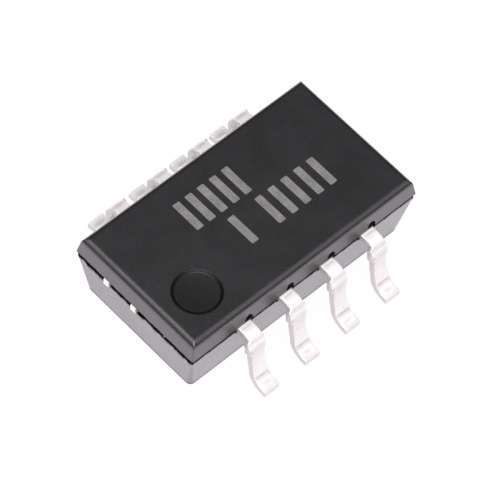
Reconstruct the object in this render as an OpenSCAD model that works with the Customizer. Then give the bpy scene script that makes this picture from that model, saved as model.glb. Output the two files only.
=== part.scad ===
// Eight-lead small-outline chip in a long moulded body, with a die, its wires
// and a quartz crystal unit inside. Millimetres. The part stands on its lead
// feet at z = 0, with pin 1 and the dimple towards -X and -Y.

/* [Moulded body] */
// Length of the body at the parting line
body_l = 6.94; // [6.8:0.02:7.4]
// Width of the body at the parting line
body_w = 3.9; // [3.8:0.02:4.2]
// Height of the half above the parting line
upper_h = 0.51; // [0.44:0.01:0.7]
// Height of the half below the parting line
lower_h = 1.54; // [1.5:0.02:1.9]
// Gap between the body and the board
standoff = 0.1; // [0.05:0.01:0.2]
// Draft of the upper half, in degrees
upper_draft = 10; // [5:0.5:12]
// Draft of the lower half, in degrees
lower_draft = 7.5; // [4:0.5:8]
// Radius of the top and bottom edges
edge_r = 0.08; // [0.04:0.01:0.1]
// How far the upper half stands out over the lower one
overhang = 0.02; // [0.01:0.01:0.06]
// Depth of the rough band where the mould halves met
band_depth = 0.05; // [0.02:0.01:0.06]
// Height of that band along the sides
band_h = 0.07; // [0.05:0.01:0.1]
// Height of that band across the ends
end_band_h = 0.13; // [0.11:0.01:0.16]

/* [Pin 1 dimple] */
// Diameter of the dimple
dimple_d = 1.15; // [0.6:0.05:1.4]
// Depth of the dimple
dimple_depth = 0.05; // [0.02:0.01:0.1]
// Distance of its centre from the end of the body
dimple_from_end = 1.11; // [1:0.01:1.4]
// Distance of its centre from the side of the body
dimple_from_side = 1.1; // [1:0.01:1.3]

/* [Leads] */
// Number of leads in each row
leads_per_row = 4; // [2:1:4]
// Pitch of the leads
pitch = 1.27; // [1.2:0.01:1.3]
// Thickness of the lead frame
frame_t = 0.18; // [0.15:0.01:0.2]
// Width of a lead
lead_w = 0.38; // [0.3:0.01:0.42]
// Straight shoulder between the body and the first bend
shoulder_l = 0.15; // [0.12:0.01:0.25]
// Inner radius of the first bend
bend_r = 0.18; // [0.12:0.01:0.25]
// Lean of the upper leg from the upright, in degrees
leg_lean = 4; // [3:0.5:8]
// Radius of the long sweep in the lower leg
sweep_r = 2; // [1.6:0.05:2.2]
// Turn of that sweep, in degrees
sweep_turn = 20; // [15:1:22]
// Turn of the sharp crease above the heel, in degrees
crease_turn = 10; // [5:1:15]
// Inner radius of the heel
heel_r = 0.4; // [0.3:0.01:0.42]
// Flat end of the foot beyond the heel
foot_l = 0.03; // [0.02:0.01:0.15]
// How far the pressed foot spreads at each side
foot_spread = 0.03; // [0.02:0.005:0.05]
// How far the trimmed dam bar stands out at the first side of a lead
dam_stub_first = 0.08; // [0.04:0.01:0.1]
// How far it stands out at the other side
dam_stub_second = 0.03; // [0.02:0.005:0.08]
// Length of the dam bar stubs down the leg, below the first bend
dam_l = 0.2; // [0.1:0.01:0.22]
// Clear width of the pocket at each side of a lead's root
root_pocket = 0.07; // [0.03:0.01:0.1]
// How far the chip beside a root rises into the upper half
root_chip = 0.05; // [0.02:0.01:0.08]
// Distance of the finger tips from the middle of the body
finger_reach = 1.2; // [1.15:0.01:1.3]
// Depth of a finger's wide head
head_depth = 0.3; // [0.28:0.01:0.34]
// Half length of an inner finger's head
head_half = 0.34; // [0.3:0.01:0.36]
// How far an outer finger's head stands out on its short side
head_ear = 0.05; // [0.03:0.01:0.08]
// How far the coined heads, feet and dam bar stubs lie under the strip's faces
coin = 0.01; // [0.005:0.001:0.015]
// How far an outer finger's head reaches back towards the die
head_hook = 0.72; // [0.5:0.01:0.74]
// Diameter of the anchor hole in each head
anchor_hole_d = 0.14; // [0.1:0.01:0.16]
// Distance of the anchor hole from the tip of the finger
hole_from_tip = 0.18; // [0.16:0.01:0.2]
// Distance of a wire's landing from the tip of the finger
wire_from_tip = 0.07; // [0.05:0.005:0.075]
// Distance of a wire's landing along the head of an outer finger
wire_along_hook = 0.5; // [0.4:0.01:0.5]

/* [Die and paddle] */
// Length of the die paddle
paddle_l = 1.7; // [1.5:0.05:1.8]
// Width of the die paddle
paddle_w = 1.9; // [1.85:0.05:2.1]
// Width of the tie bars
tie_w = 0.17; // [0.12:0.01:0.2]
// Distance of the outer tie bars from the middle
tie_y = 0.9; // [0.85:0.01:0.92]
// How far the trimmed tie bars stand out of the ends of the body
tie_stub = 0.03; // [0.01:0.01:0.05]
// Depth inside the end of the body at which one tie bar broke off
broken_tie = 0.06; // [0.03:0.01:0.08]
// Length of the die
die_l = 1.3; // [1:0.05:1.4]
// Width of the die
die_w = 1.2; // [1:0.05:1.4]
// Thickness of the die
die_t = 0.15; // [0.1:0.01:0.18]
// Thickness of the adhesive under the die
attach_t = 0.02; // [0.01:0.005:0.03]
// Margin of adhesive around the die
attach_margin = 0.04; // [0.02:0.01:0.06]

/* [Bond wires] */
// Diameter of the gold wire
wire_d = 0.03; // [0.02:0.005:0.04]
// Diameter of the ball on the die
ball_d = 0.08; // [0.06:0.005:0.1]
// Thickness of the ball
ball_t = 0.02; // [0.015:0.005:0.03]
// Straight rise of the wire above the ball
wire_rise = 0.05; // [0.03:0.01:0.07]
// How far the kink at the top of the rise swells beyond the wire
kink_swell = 0.003; // [0.002:0.001:0.005]
// Distance of the balls from the edge of the die
pad_inset = 0.1; // [0.08:0.01:0.15]

/* [Crystal unit] */
// Length of the crystal unit
crystal_l = 3.2; // [3:0.05:3.3]
// Width of the crystal unit
crystal_w = 1.5; // [1.4:0.05:1.6]
// Height of its ceramic base
base_h = 0.6; // [0.55:0.01:0.65]
// Thickness of the ceramic wall
base_wall = 0.25; // [0.22:0.01:0.3]
// Thickness of the ceramic floor
base_floor = 0.2; // [0.15:0.01:0.25]
// Height of the metal seal ring
ring_h = 0.05; // [0.03:0.01:0.08]
// Width of the seal ring
ring_w = 0.15; // [0.1:0.01:0.2]
// Thickness of the metal lid
lid_t = 0.08; // [0.06:0.01:0.1]
// Step from the edge of the base to the ring and the lid
lid_inset = 0.06; // [0.03:0.01:0.08]
// Thickness of the solder between the unit and its lands
joint_t = 0.03; // [0.02:0.01:0.05]
// Length of a land along the unit
land_l = 0.6; // [0.5:0.05:0.65]
// Width of a land
land_w = 1.2; // [1.1:0.05:1.3]
// Length of the quartz fork
fork_l = 2.1; // [1.9:0.05:2.3]
// Width of the quartz fork
fork_w = 0.5; // [0.4:0.02:0.6]
// Thickness of the quartz fork
fork_t = 0.1; // [0.08:0.01:0.12]
// Width of the slot between the tines
fork_slot = 0.12; // [0.08:0.01:0.16]
// Length of the solid root of the fork
fork_root = 0.6; // [0.5:0.05:0.7]
// Gap between the root of the fork and the ceramic wall
fork_gap = 0.1; // [0.05:0.01:0.15]
// Length of the mounts under the fork
mount_l = 0.3; // [0.2:0.01:0.4]
// Width of the mounts
mount_w = 0.18; // [0.12:0.01:0.2]
// Height of the mounts
mount_t = 0.08; // [0.06:0.01:0.1]

/* [Hidden] */
$fn = 64;

eps = 0.01;
parting_z = standoff + lower_h;
top_z = parting_z + upper_h;
frame_z = parting_z - frame_t;
land_x = crystal_l / 2 - land_l / 2;
base_top_z = frame_z - joint_t;
ring_top_z = base_top_z - base_h;
lid_top_z = ring_top_z - ring_h;
fork_z = base_top_z - base_floor - mount_t;
fork_x0 = -crystal_l / 2 + base_wall + fork_gap;
die_z = parting_z + attach_t + die_t;
heel_turn = 90 - leg_lean - sweep_turn - crease_turn;
crease_r = 0.01;
root_l = body_w / 2 - finger_reach;

// Slopes of the strip below the level, where one turn ends and the next starts.
leg_slope = 90 - leg_lean;
crease_slope = leg_slope - sweep_turn;

// Straight leg that brings the sole of the foot down to z = 0.
bend_fall = (bend_r + frame_t) * (1 - cos(leg_slope));
lower_fall = arc_fall(sweep_r, leg_slope, crease_slope)
             + arc_fall(crease_r, crease_slope, heel_turn)
             + arc_fall(heel_r, heel_turn, 0) + frame_t;
leg_l = (parting_z - bend_fall - lower_fall) / sin(leg_slope);

function arc_fall(r, from, to) = r * (cos(to) - cos(from));

// The strip of a lead as straight runs and turns, from inside the head of its
// finger. Each is a length, an inner radius and an angle, and a turn below zero
// goes down.
neck_l = root_l - head_depth + coin;
LEG = [[neck_l + shoulder_l, 0, 0], [0, bend_r, -leg_slope], [leg_l, 0, 0],
       [0, sweep_r, sweep_turn], [0, crease_r, crease_turn], [0, heel_r, heel_turn]];
FORMING = concat(LEG, [[foot_l, 0, 0]]);
FOOT_FORMING = concat(LEG, [[foot_l - coin, 0, 0]]);
FOOT_STEP = 5;

// The stubs of the dam bar start half-way round the first bend.
DAM_FORMING = [[neck_l + shoulder_l, 0, 0], [0, bend_r, -leg_slope / 2],
               [0, bend_r, -leg_slope / 2], [dam_l, 0, 0]];
DAM_STEP = 2;

// Place of a lead along X, by its number.
function row_x(i) = (i - (leads_per_row - 1) / 2) * pitch;
function is_outer(i) = i == 0 || i == leads_per_row - 1;
function outward(i) = row_x(i) < 0 ? -1 : 1;

// ---- Moulded body ----

// Outline of one half across its middle, standing on y = 0, with drafted sides
// and a rounded edge at each side of its flat face.
module half_outline(half, h, draft) {
    face = half - (h - edge_r) * tan(draft) - edge_r / cos(draft);
    wall_end = [face + edge_r * cos(draft), h - edge_r + edge_r * sin(draft)];
    polygon([[-half, 0], [half, 0], wall_end, [face, h],
             [-face, h], [-wall_end[0], wall_end[1]]]);
    for (side = [-1, 1]) translate([side * face, h - edge_r]) circle(edge_r);
}

// A drafted block standing on z = 0, with its four walls mitred at the corners.
module drafted_block(l, w, h, draft) {
    intersection() {
        rotate([90, 0, 0])
            translate([0, 0, -w]) linear_extrude(2 * w) half_outline(l / 2, h, draft);
        rotate([90, 0, 90])
            translate([0, 0, -l]) linear_extrude(2 * l) half_outline(w / 2, h, draft);
    }
}

module cube_at(size) {
    translate([-size[0] / 2, -size[1] / 2, 0]) cube(size);
}

// The two drafted halves and the recessed band between them.
module body_blank() {
    lower_l = body_l - 2 * overhang;
    lower_w = body_w - 2 * overhang;
    translate([0, 0, parting_z])
        drafted_block(body_l, body_w, upper_h, upper_draft);
    translate([0, 0, parting_z - band_h])
        cube_at([lower_l - 2 * band_depth, lower_w - 2 * band_depth, band_h + eps]);
    translate([0, 0, parting_z - band_h])
        mirror([0, 0, 1])
            drafted_block(lower_l, lower_w, lower_h - band_h, lower_draft);
}

// The band is broken out deeper across the ends.
module end_grooves() {
    from_x = body_l / 2 - overhang - band_depth;
    for (side = [0, 180])
        rotate([0, 0, side])
            translate([from_x, -body_w / 2, parting_z - end_band_h])
                cube([band_depth + 2 * overhang, body_w, end_band_h]);
}

// Pockets beside and below each lead where it leaves the body, each with a chip
// out of the edge of the upper half at one side.
module root_pockets() {
    depth = overhang + band_depth + root_pocket / 2;
    for (i = [0 : leads_per_row - 1], turn = [0, 180])
        rotate([0, 0, turn]) translate([row_x(i), -body_w / 2, 0]) {
            translate([0, 0, frame_z - root_pocket / 2])
                cube_at([lead_w + 2 * root_pocket, 2 * depth, frame_t + root_pocket / 2]);
            translate([lead_w / 4, -depth, parting_z - eps])
                cube([lead_w / 4 + root_pocket, depth + overhang + band_depth, root_chip + eps]);
        }
}

module dimple() {
    translate([-body_l / 2 + dimple_from_end, -body_w / 2 + dimple_from_side,
               top_z - dimple_depth])
        cylinder(d = dimple_d, h = 2 * dimple_depth);
}

module mould_body() {
    color([0.2, 0.19, 0.21])
        difference() {
            body_blank();
            end_grooves();
            root_pockets();
            dimple();
            inner_pieces();
        }
}

// ---- Leads ----

// One strip of sheet in side view, bent along a path. It starts at the origin
// with its top face on y = 0, and runs towards +X. Steps before the first one
// wanted only carry the strip on, and inset makes it thinner from both faces.
module bent_strip(path, first = 0, inset = 0, i = 0) {
    if (i < len(path)) {
        run = path[i][0];
        r = path[i][1];
        turn = path[i][2];
        centre = turn > 0 ? r : -(r + frame_t);
        if (i >= first) {
            if (turn == 0)
                translate([0, inset - frame_t]) square([run, frame_t - 2 * inset]);
            else
                translate([0, centre])
                    ring_sector(r + inset, r + frame_t - inset, turn > 0 ? -90 : 90, turn);
        }
        if (i > first)
            translate([-eps, -frame_t * 3 / 4]) square([2 * eps, frame_t / 2]);
        if (turn == 0)
            translate([run, 0]) bent_strip(path, first, inset, i + 1);
        else
            translate([0, centre]) rotate(turn) translate([0, -centre])
                bent_strip(path, first, inset, i + 1);
    }
}

// Part of a ring between two radii, from one angle through a turn below 90.
module ring_sector(r_in, r_out, from, turn) {
    reach = r_out * 2;
    intersection() {
        difference() {
            circle(r_out);
            circle(r_in);
        }
        polygon([[0, 0], reach * [cos(from), sin(from)],
                 reach * [cos(from + turn / 2), sin(from + turn / 2)],
                 reach * [cos(from + turn), sin(from + turn)]]);
    }
}

// A whole strip out along +Y, from inside its head.
module strip(path, left, right, first = 0, inset = 0) {
    translate([-left, -neck_l, 0])
        rotate([90, 0, 90]) linear_extrude(left + right) bent_strip(path, first, inset);
}

// The coined head inside the body, turned towards the die.
module head(i) {
    x_out = is_outer(i) ? lead_w / 2 + head_ear : head_half;
    x_in = is_outer(i) ? head_hook : head_half;
    mirror([outward(i) > 0 ? 1 : 0, 0, 0])
        difference() {
            translate([-x_out, -root_l, coin - frame_t])
                cube([x_out + x_in, head_depth, frame_t - coin]);
            translate([0, hole_from_tip - root_l, -2 * frame_t])
                cylinder(d = anchor_hole_d, h = 3 * frame_t);
        }
}

// A whole lead in its place, for the row at -Y. The foot is a little wider than
// the leg, and so are the first bend and the top of the leg, where the dam bar
// between the leads was cut off.
module lead_at(i) {
    half_w = lead_w / 2;
    translate([row_x(i), 0, parting_z])
        mirror([0, 1, 0])
            translate([0, body_w / 2, 0]) {
                head(i);
                strip(FORMING, half_w, half_w);
                strip(FOOT_FORMING, half_w + foot_spread, half_w + foot_spread, FOOT_STEP, coin);
                strip(DAM_FORMING, half_w + dam_stub_first, half_w + dam_stub_second,
                      DAM_STEP, coin);
            }
}

// Leads 1 to 4 run along -Y from -X to +X, and 5 to 8 come back along +Y.
module lead(number) {
    i = number <= leads_per_row ? number - 1 : number - 1 - leads_per_row;
    color([0.86, 0.84, 0.83])
        rotate([0, 0, number <= leads_per_row ? 0 : 180]) lead_at(i);
}

// ---- Paddle and lands of the lead frame ----

// A tie bar from x inside the body out past its end face.
module tie_bar(x, y, past) {
    end_x = body_l / 2 + past;
    translate([x, y - tie_w / 2, frame_z]) cube([end_x - x, tie_w, frame_t]);
}

// The bar beside the dimple broke off inside the end of the body.
module die_paddle() {
    color([0.80, 0.66, 0.50]) {
        translate([0, 0, frame_z]) cube_at([paddle_l, paddle_w, frame_t]);
        for (side = [0, 180], y = [-tie_y, tie_y])
            rotate([0, 0, side])
                tie_bar(paddle_l / 2 - eps, y, side == 180 && y > 0 ? -broken_tie : tie_stub);
    }
}

// The land that one end of the crystal unit is soldered to, at +X.
module land() {
    translate([land_x - land_l / 2, -land_w / 2, frame_z]) cube([land_l, land_w, frame_t]);
    tie_bar(land_x, 0, tie_stub);
}

module crystal_land_left() { color([0.80, 0.66, 0.50]) rotate([0, 0, 180]) land(); }

module crystal_land_right() { color([0.80, 0.66, 0.50]) land(); }

// ---- Die ----

module die_attach() {
    color([0.75, 0.75, 0.72])
        translate([0, 0, parting_z])
            cube_at([die_l + 2 * attach_margin, die_w + 2 * attach_margin, attach_t]);
}

module silicon_die() {
    color([0.35, 0.40, 0.48])
        translate([0, 0, parting_z + attach_t]) cube_at([die_l, die_w, die_t]);
}

// ---- Bond wires ----

// A ball-bonded wire from the top of the die at a to a frame piece at b.
module bond_wire(a, b) {
    d = norm(b - a);
    kink_z = ball_t + wire_rise;
    fall = die_z + kink_z - parting_z;
    color([0.93, 0.76, 0.32])
        translate([a[0], a[1], die_z])
            rotate([0, 0, atan2(b[1] - a[1], b[0] - a[0])])
                difference() {
                    union() {
                        cylinder(d = ball_d, h = ball_t);
                        cylinder(d = wire_d, h = kink_z);
                        translate([0, 0, kink_z]) {
                            sphere(d = wire_d + 2 * kink_swell);
                            rotate([0, 90 + atan2(fall, d), 0])
                                cylinder(d = wire_d, h = norm([d, fall]) + wire_d);
                        }
                    }
                    translate([ball_d, -ball_d, -die_z])
                        cube([2 * d, 2 * ball_d, parting_z]);
                }
}

// The wire of a lead starts on the die near its own row.
module lead_wire(number) {
    i = number <= leads_per_row ? number - 1 : number - 1 - leads_per_row;
    head_x = row_x(i) - (is_outer(i) ? outward(i) * wire_along_hook : 0);
    pad_x = row_x(i) * (die_l / 2 - pad_inset) / row_x(leads_per_row - 1);
    rotate([0, 0, number <= leads_per_row ? 0 : 180])
        bond_wire([pad_x, pad_inset - die_w / 2], [head_x, -finger_reach - wire_from_tip]);
}

// The wires that bring the crystal's lands to the die, at +X.
module land_wire() {
    bond_wire([die_l / 2 - pad_inset, 0], [land_x - land_l / 4, 0]);
}

module bond_wire_left() { rotate([0, 0, 180]) land_wire(); }

module bond_wire_right() { land_wire(); }

// ---- Crystal unit, hung under the lands with its lid down ----

module solder_joint() {
    color([0.70, 0.71, 0.73])
        translate([land_x - land_l / 2, -land_w / 2, base_top_z])
            cube([land_l, land_w, joint_t]);
}

module solder_joint_left() { rotate([0, 0, 180]) solder_joint(); }

module solder_joint_right() { solder_joint(); }

module crystal_base() {
    color([0.82, 0.80, 0.74])
        translate([0, 0, ring_top_z])
            difference() {
                cube_at([crystal_l, crystal_w, base_h]);
                translate([0, 0, -eps])
                    cube_at([crystal_l - 2 * base_wall, crystal_w - 2 * base_wall,
                             base_h - base_floor + eps]);
            }
}

module seal_ring() {
    ring_l = crystal_l - 2 * lid_inset;
    ring_wd = crystal_w - 2 * lid_inset;
    color([0.85, 0.75, 0.45])
        translate([0, 0, lid_top_z])
            difference() {
                cube_at([ring_l, ring_wd, ring_h]);
                translate([0, 0, -eps])
                    cube_at([ring_l - 2 * ring_w, ring_wd - 2 * ring_w, ring_h + 2 * eps]);
            }
}

module crystal_lid() {
    color([0.72, 0.73, 0.75])
        translate([0, 0, lid_top_z - lid_t])
            cube_at([crystal_l - 2 * lid_inset, crystal_w - 2 * lid_inset, lid_t]);
}

module quartz_fork() {
    color([0.80, 0.88, 0.92])
        translate([fork_x0, -fork_w / 2, fork_z - fork_t])
            difference() {
                cube([fork_l, fork_w, fork_t]);
                translate([fork_root, fork_w / 2 - fork_slot / 2, -eps])
                    cube([fork_l, fork_slot, fork_t + 2 * eps]);
            }
}

// One of the two dabs of adhesive that hold the root of the fork.
module fork_mount(side) {
    color([0.62, 0.62, 0.60])
        translate([fork_x0, side * (fork_w - mount_w) / 2 - mount_w / 2, fork_z])
            cube([mount_l, mount_w, mount_t]);
}

module fork_mount_near() { fork_mount(-1); }

module fork_mount_far() { fork_mount(1); }

// ---- Everything that the mould compound flows around ----

module inner_pieces() {
    for (number = [1 : 2 * leads_per_row]) {
        lead(number);
        lead_wire(number);
    }
    die_paddle();
    crystal_land_left();
    crystal_land_right();
    die_attach();
    silicon_die();
    bond_wire_left();
    bond_wire_right();
    solder_joint_left();
    solder_joint_right();
    translate([0, 0, ring_top_z]) cube_at([crystal_l, crystal_w, base_h]);
    translate([0, 0, lid_top_z])
        cube_at([crystal_l - 2 * lid_inset, crystal_w - 2 * lid_inset, ring_h]);
    crystal_lid();
}

mould_body();
lead(1);  // lead_1
lead(2);  // lead_2
lead(3);  // lead_3
lead(4);  // lead_4
lead(5);  // lead_5
lead(6);  // lead_6
lead(7);  // lead_7
lead(8);  // lead_8
die_paddle();
crystal_land_left();
crystal_land_right();
die_attach();
silicon_die();
lead_wire(1);  // bond_wire_1
lead_wire(2);  // bond_wire_2
lead_wire(3);  // bond_wire_3
lead_wire(4);  // bond_wire_4
lead_wire(5);  // bond_wire_5
lead_wire(6);  // bond_wire_6
lead_wire(7);  // bond_wire_7
lead_wire(8);  // bond_wire_8
bond_wire_left();
bond_wire_right();
solder_joint_left();
solder_joint_right();
crystal_base();
seal_ring();
crystal_lid();
quartz_fork();
fork_mount_near();
fork_mount_far();
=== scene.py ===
"""Looks of an eight-lead small-outline chip: moulded body, gull-wing leads, marking and studio.

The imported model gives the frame. The moulded body and the leads are rebuilt here with
fine bends, edges and a rough parting band, and every inner piece keeps its own mesh and
gets a finish. Sizes are in millimetres until a mesh becomes an object.
"""

from __future__ import annotations

import logging
from dataclasses import dataclass, field
from enum import Enum
from math import copysign, cos, exp, pi, radians, sin, tan
from typing import Any, Iterable, Sequence

import bmesh
import bpy
from mathutils import Matrix, Vector, noise

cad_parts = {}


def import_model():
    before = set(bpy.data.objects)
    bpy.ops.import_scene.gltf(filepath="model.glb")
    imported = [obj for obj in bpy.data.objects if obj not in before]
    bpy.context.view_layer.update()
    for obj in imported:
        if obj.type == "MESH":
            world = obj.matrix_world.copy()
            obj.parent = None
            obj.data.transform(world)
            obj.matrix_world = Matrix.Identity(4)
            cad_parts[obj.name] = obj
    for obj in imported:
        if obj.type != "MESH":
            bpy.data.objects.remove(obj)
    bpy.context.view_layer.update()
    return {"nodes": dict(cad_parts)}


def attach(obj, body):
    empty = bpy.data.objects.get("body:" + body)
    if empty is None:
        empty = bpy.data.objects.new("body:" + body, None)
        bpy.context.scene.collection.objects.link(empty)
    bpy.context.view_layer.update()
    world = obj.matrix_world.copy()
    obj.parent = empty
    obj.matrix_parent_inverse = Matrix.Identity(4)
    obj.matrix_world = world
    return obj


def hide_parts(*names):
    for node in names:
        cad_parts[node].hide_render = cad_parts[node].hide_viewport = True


LOG = logging.getLogger("chip")
MM = 0.001
BODY = "root"
LEADS_IN_ROW = 4
MID_LEAD = (LEADS_IN_ROW - 1) / 2
# The least turn, in degrees, at which an edge stays crisp.
SHARP_ANGLES = {"body": 38, "lead": 50}

Colour = tuple[float, float, float]
Span = tuple[float, float]
Object = bpy.types.Object
Mesh = bmesh.types.BMesh
Vert = bmesh.types.BMVert
Tree = bpy.types.NodeTree
Node = bpy.types.Node
Socket = bpy.types.NodeSocket


# ---- Mesh helpers ----

def mesh_object(name: str, bm: Mesh, smooth: bool = True) -> Object:
    """Turns a bmesh in millimetres into an object in metres, linked to the scene.

    Args:
        name: Name of the new object.
        bm: The mesh, which is freed.
        smooth: Whether its faces are shaded smooth.

    Returns:
        The new object.
    """
    bmesh.ops.recalc_face_normals(bm, faces=bm.faces)
    bmesh.ops.scale(bm, vec=(MM, MM, MM), verts=bm.verts)
    for face in bm.faces:
        face.smooth = smooth
    mesh = bpy.data.meshes.new(name)
    bm.to_mesh(mesh)
    bm.free()
    obj = bpy.data.objects.new(name, mesh)
    bpy.context.scene.collection.objects.link(obj)
    return obj


def apply_modifiers(obj: Object) -> None:
    """Bakes an object's modifiers into its mesh.

    Args:
        obj: The object, which keeps no modifier.
    """
    bpy.context.view_layer.update()
    graph = bpy.context.evaluated_depsgraph_get()
    mesh = bpy.data.meshes.new_from_object(obj.evaluated_get(graph), depsgraph=graph)
    obj.modifiers.clear()
    obj.data = mesh


def weld(obj: Object, distance: float) -> None:
    """Joins the slivers that a cut leaves along its edges.

    Args:
        obj: The object that was cut.
        distance: Greatest distance between points that are one, in millimetres.
    """
    bm = bmesh.new()
    bm.from_mesh(obj.data)
    bmesh.ops.remove_doubles(bm, verts=bm.verts, dist=distance * MM)
    bmesh.ops.dissolve_degenerate(bm, edges=bm.edges, dist=distance * MM)
    bm.to_mesh(obj.data)
    bm.free()


def weight_normals(obj: Object) -> None:
    """Lets large flat faces rule the shading where they meet small rounded edges.

    Args:
        obj: The object whose normals are weighted.
    """
    modifier = obj.modifiers.new("weighted", "WEIGHTED_NORMAL")
    modifier.weight = 100
    modifier.keep_sharp = True
    apply_modifiers(obj)


def sharpen(bm: Mesh, angle: float) -> None:
    """Marks the edges that turn by more than an angle, so their shading stays crisp.

    Args:
        bm: The mesh.
        angle: The least turn of a sharp edge, in degrees.
    """
    limit = radians(angle)
    for edge in bm.edges:
        if len(edge.link_faces) == 2 and edge.calc_face_angle(0.0) > limit:
            edge.smooth = False


def loft(bm: Mesh, rings: Sequence[Sequence[Vector]]) -> list[list[Vert]]:
    """Joins closed rings with an equal number of points into a tube.

    Args:
        bm: The mesh that takes the faces.
        rings: Points of each ring, in order.

    Returns:
        The vertices of each ring.
    """
    rows = [[bm.verts.new(p) for p in ring] for ring in rings]
    for low, high in zip(rows, rows[1:]):
        count = len(low)
        for i in range(count):
            j = (i + 1) % count
            bm.faces.new((low[i], low[j], high[j], high[i]))
    return rows


def fill_between(bm: Mesh, loops: Iterable[Sequence[Vert]]) -> None:
    """Fills a flat area between closed loops of vertices.

    Args:
        bm: The mesh.
        loops: The outer loop and any loops of holes.
    """
    edges = []
    for loop in loops:
        for a, b in zip(loop, list(loop[1:]) + [loop[0]]):
            edges.append(bm.edges.get((a, b)) or bm.edges.new((a, b)))
    bmesh.ops.triangle_fill(bm, use_beauty=True, use_dissolve=False, edges=edges)


# ---- Shader helpers, groups and finishes ----

WHITE = (1.0, 1.0, 1.0, 1.0)
# The grain's values at which a finish is at its darkest and at its lightest.
RAMP_STOPS: Span = (0.32, 0.68)
# The grain's values at which a finish is at its smoothest and at its roughest.
ROUGH_SPAN: Span = (0.3, 0.7)


def feed(tree: Tree, node: Node, inputs: dict[str | int, Any]) -> None:
    """Gives a node's inputs their values and links.

    Args:
        tree: The node's tree.
        node: The node.
        inputs: A value or another node's socket for each input.
    """
    for key, value in inputs.items():
        if isinstance(value, Socket):
            tree.links.new(value, node.inputs[key])
        else:
            node.inputs[key].default_value = value


def add_node(tree: Tree, kind: str, inputs: dict[str | int, Any], **settings: Any) -> Node:
    """Adds a shader node.

    Args:
        tree: The tree that takes it.
        kind: Its type, without the word that all types start with.
        inputs: A value or another node's socket for each input.
        settings: Its own settings.

    Returns:
        The node.
    """
    node = tree.nodes.new(f"ShaderNode{kind}")
    for name, value in settings.items():
        setattr(node, name, value)
    feed(tree, node, inputs)
    return node


def mixed(tree: Tree, factor: Any, a: Any, b: Any, kind: str = "FLOAT") -> Socket:
    """Mixes two values or colours: a where the factor is 0 and b where it is 1."""
    inputs = {"Factor": factor, "A": a, "B": b}
    return add_node(tree, "Mix", inputs, data_type=kind).outputs["Result"]


def ranged(
    tree: Tree, value: Socket, to: Sequence[Any], start: Span = (0.0, 1.0), kind: str = "LINEAR"
) -> Socket:
    """Maps a value from one span to another.

    Args:
        tree: The tree that takes the node.
        value: The value.
        to: The least and the greatest result.
        start: The values that give them.
        kind: How it goes from one to the other.

    Returns:
        The result.
    """
    inputs = {"Value": value, "To Min": to[0], "To Max": to[1]}
    inputs |= {"From Min": start[0], "From Max": start[1]}
    return add_node(tree, "MapRange", inputs, interpolation_type=kind).outputs["Result"]


def ramped(
    tree: Tree, value: Socket, places: Span, colours: Sequence[Colour], kind: str = "LINEAR"
) -> Socket:
    """Turns a value into a colour between two.

    Args:
        tree: The tree that takes the node.
        value: The value.
        places: The values at which the colours are reached.
        colours: The two colours.
        kind: How it goes from one to the other.

    Returns:
        The colour.
    """
    ramp = add_node(tree, "ValToRGB", {"Fac": value})
    ramp.color_ramp.interpolation = kind
    for stop, place, colour in zip(ramp.color_ramp.elements, places, colours):
        stop.position = place
        stop.color = (*colour, 1.0)
    return ramp.outputs["Color"]


def patches(tree: Tree, place: Socket, size: Socket, detail: float, rough: float) -> Socket:
    """Adds a noise whose patches have a size.

    Args:
        tree: The tree that takes the nodes.
        place: Coordinates in millimetres.
        size: Size of the patches in millimetres.
        detail: How many finer layers it has.
        rough: How strong these are.

    Returns:
        The noise.
    """
    scale = add_node(tree, "Math", {0: 1.0, 1: size}, operation="DIVIDE").outputs[0]
    inputs = {"Vector": place, "Scale": scale, "Detail": detail, "Roughness": rough}
    return add_node(tree, "TexNoise", inputs).outputs["Fac"]


class Group(Enum):
    """Shader node groups that more than one finish uses."""

    GRAIN = "moulded grain"
    WEAR = "handling marks"


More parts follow.
